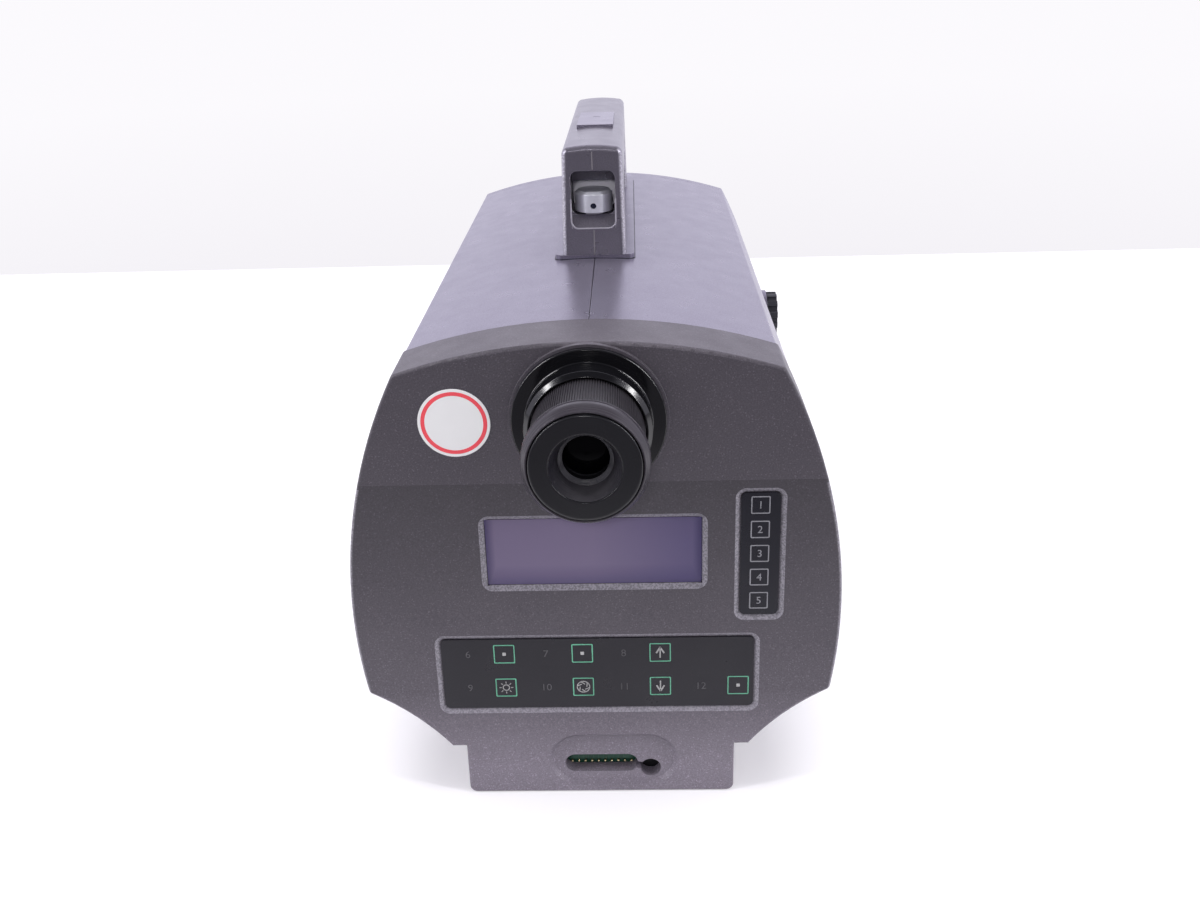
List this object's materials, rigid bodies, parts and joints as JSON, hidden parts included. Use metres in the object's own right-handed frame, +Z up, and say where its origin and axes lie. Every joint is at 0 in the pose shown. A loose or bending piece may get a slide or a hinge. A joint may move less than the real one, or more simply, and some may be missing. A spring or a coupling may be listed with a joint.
{
  "type": "spectroradiometer",
  "caption": "Telephoto spectroradiometer with bowed case, operator panel, dioptre eyepiece, focusing objective, field selector and carrying handle on screw locks.",
  "frame": {"origin": "mouth of the tripod socket, on the flat underside", "axes": "+Y from the operator panel to the objective, along the length; +Z up; +X to the operator's right"},
  "size_m": [0.1812, 0.391, 0.2264],
  "materials": {
    "case_plastic": "fine-grained matt",
    "handle_metal": "satin powder coat",
    "black_metal": "satin black anodised",
    "bare_metal": "fine turned",
    "steel": "bright",
    "brass": "turned",
    "glass": "coated",
    "mirror": "polished",
    "film": "satin printed film",
    "display_glass": "violet grey",
    "board": "green solder mask",
    "cast": "painted casting",
    "plate": "matt black inside parts",
    "black_plastic": "moulded"
  },
  "bodies": {
    "instrument": {"operator_panel": "case_plastic", "housing_left": "case_plastic", "housing_right": "case_plastic", "lens_end_cover": "case_plastic", "handle_seat_pad": "case_plastic", "handle_top_plate": "case_plastic", "carry_handle": "handle_metal", "base_casting": "cast", "eyepiece_flange": "black_metal", "eyepiece_guide": "black_metal", "lens_mount": "black_metal", "case_screws": "steel", "handle_rail": "steel", "tripod_bush": "brass", "selector_bush": "brass", "interface_pins": "brass", "relay_lenses": "glass", "fold_mirror": "mirror", "spectrograph_mirrors": "mirror", "grating": "mirror", "keypad_film": "film", "strip_film": "film", "display_window": "display_glass", "display_module": "display_glass", "panel_board": "board", "interface_board": "board", "main_board": "board", "detector_board": "board", "optical_bench": "plate", "spectrograph_case": "plate", "spectrograph_lid": "plate", "relay_tube": "plate", "wheel_and_shutter_motors": "plate", "power_switch_body": "black_plastic", "power_inlet": "black_plastic", "serial_connector": "black_plastic"},
    "lens_cell": {"eye_lens_cell": "black_metal", "eye_lens": "glass", "field_lens": "glass"},
    "dioptre": {"dioptre_ring": "black_metal", "eyecup_rim": "black_metal"},
    "focus": {"focus_ring": "black_metal"},
    "barrel": {"front_barrel": "black_metal", "front_lens": "glass", "rear_lens": "glass"},
    "selector": {"selector_knob": "black_plastic", "selector_shaft": "steel", "aperture_rotor": "plate", "aperture_mirrors": "mirror"},
    "near_washer": {"near_thrust_washer": "steel"},
    "near_lock": {"near_lock_knob": "bare_metal", "near_lock_stud": "steel", "near_set_screw": "steel"},
    "far_washer": {"far_thrust_washer": "steel"},
    "far_lock": {"far_lock_knob": "bare_metal", "far_lock_stud": "steel", "far_set_screw": "steel"},
    "shutter": {"shutter_blade": "plate"},
    "wheel": {"filter_wheel": "plate"},
    "rocker": {"power_rocker": "black_plastic"}
  },
  "joints": [
    {"name": "lens_cell_slide", "type": "slide", "parent": "instrument", "child": "lens_cell", "axis": [0, -1, 0], "range_m": [-0.0025, 0.0025]},
    {"name": "dioptre_turn", "type": "hinge", "parent": "lens_cell", "child": "dioptre", "pos_m": [0, -0.16, 0.1536], "axis": [0, -1, 0], "range_deg": [-90, 90]},
    {"name": "barrel_slide", "type": "slide", "parent": "instrument", "child": "barrel", "axis": [0, 1, 0], "range_m": [0, 0.006]},
    {"name": "focus_turn", "type": "hinge", "parent": "instrument", "child": "focus", "pos_m": [0, 0.173, 0.12031], "axis": [0, 1, 0], "range_deg": [0, 270]},
    {"name": "selector_turn", "type": "hinge", "parent": "instrument", "child": "selector", "pos_m": [0, 0.1143, 0.109], "axis": [1, 0, 0], "range_deg": [0, 240]},
    {"name": "near_lock_lift", "type": "slide", "parent": "instrument", "child": "near_washer", "axis": [0, 0, 1], "range_m": [0, 0.005]},
    {"name": "near_lock_turn", "type": "hinge", "parent": "near_washer", "child": "near_lock", "pos_m": [0, -0.0232, 0.2], "axis": [0, 0, 1], "range_deg": [0, 1440]},
    {"name": "far_lock_lift", "type": "slide", "parent": "instrument", "child": "far_washer", "axis": [0, 0, 1], "range_m": [0, 0.005]},
    {"name": "far_lock_turn", "type": "hinge", "parent": "far_washer", "child": "far_lock", "pos_m": [0, 0.1222, 0.2], "axis": [0, 0, 1], "range_deg": [0, 1440]},
    {"name": "shutter_swing", "type": "hinge", "parent": "instrument", "child": "shutter", "pos_m": [0.024, 0.074, 0.12031], "axis": [0, 1, 0], "range_deg": [0, 35], "stiffness_Nm_per_rad": 0.002},
    {"name": "wheel_turn", "type": "hinge", "parent": "instrument", "child": "wheel", "pos_m": [0, 0.078, 0.10831], "axis": [0, 1, 0], "continuous": true},
    {"name": "rocker_tip", "type": "hinge", "parent": "instrument", "child": "rocker", "pos_m": [-0.034, 0.1516, 0.06751], "axis": [1, 0, 0], "range_deg": [-16, 0]}
  ],
  "couplings": [
    {"joint": "dioptre_turn", "follows": "lens_cell_slide", "rad_per_m": 628.3},
    {"joint": "focus_turn", "follows": "barrel_slide", "rad_per_m": 785.3},
    {"joint": "near_lock_turn", "follows": "near_lock_lift", "rad_per_m": 5026.5},
    {"joint": "far_lock_turn", "follows": "far_lock_lift", "rad_per_m": 5026.5}
  ]
}
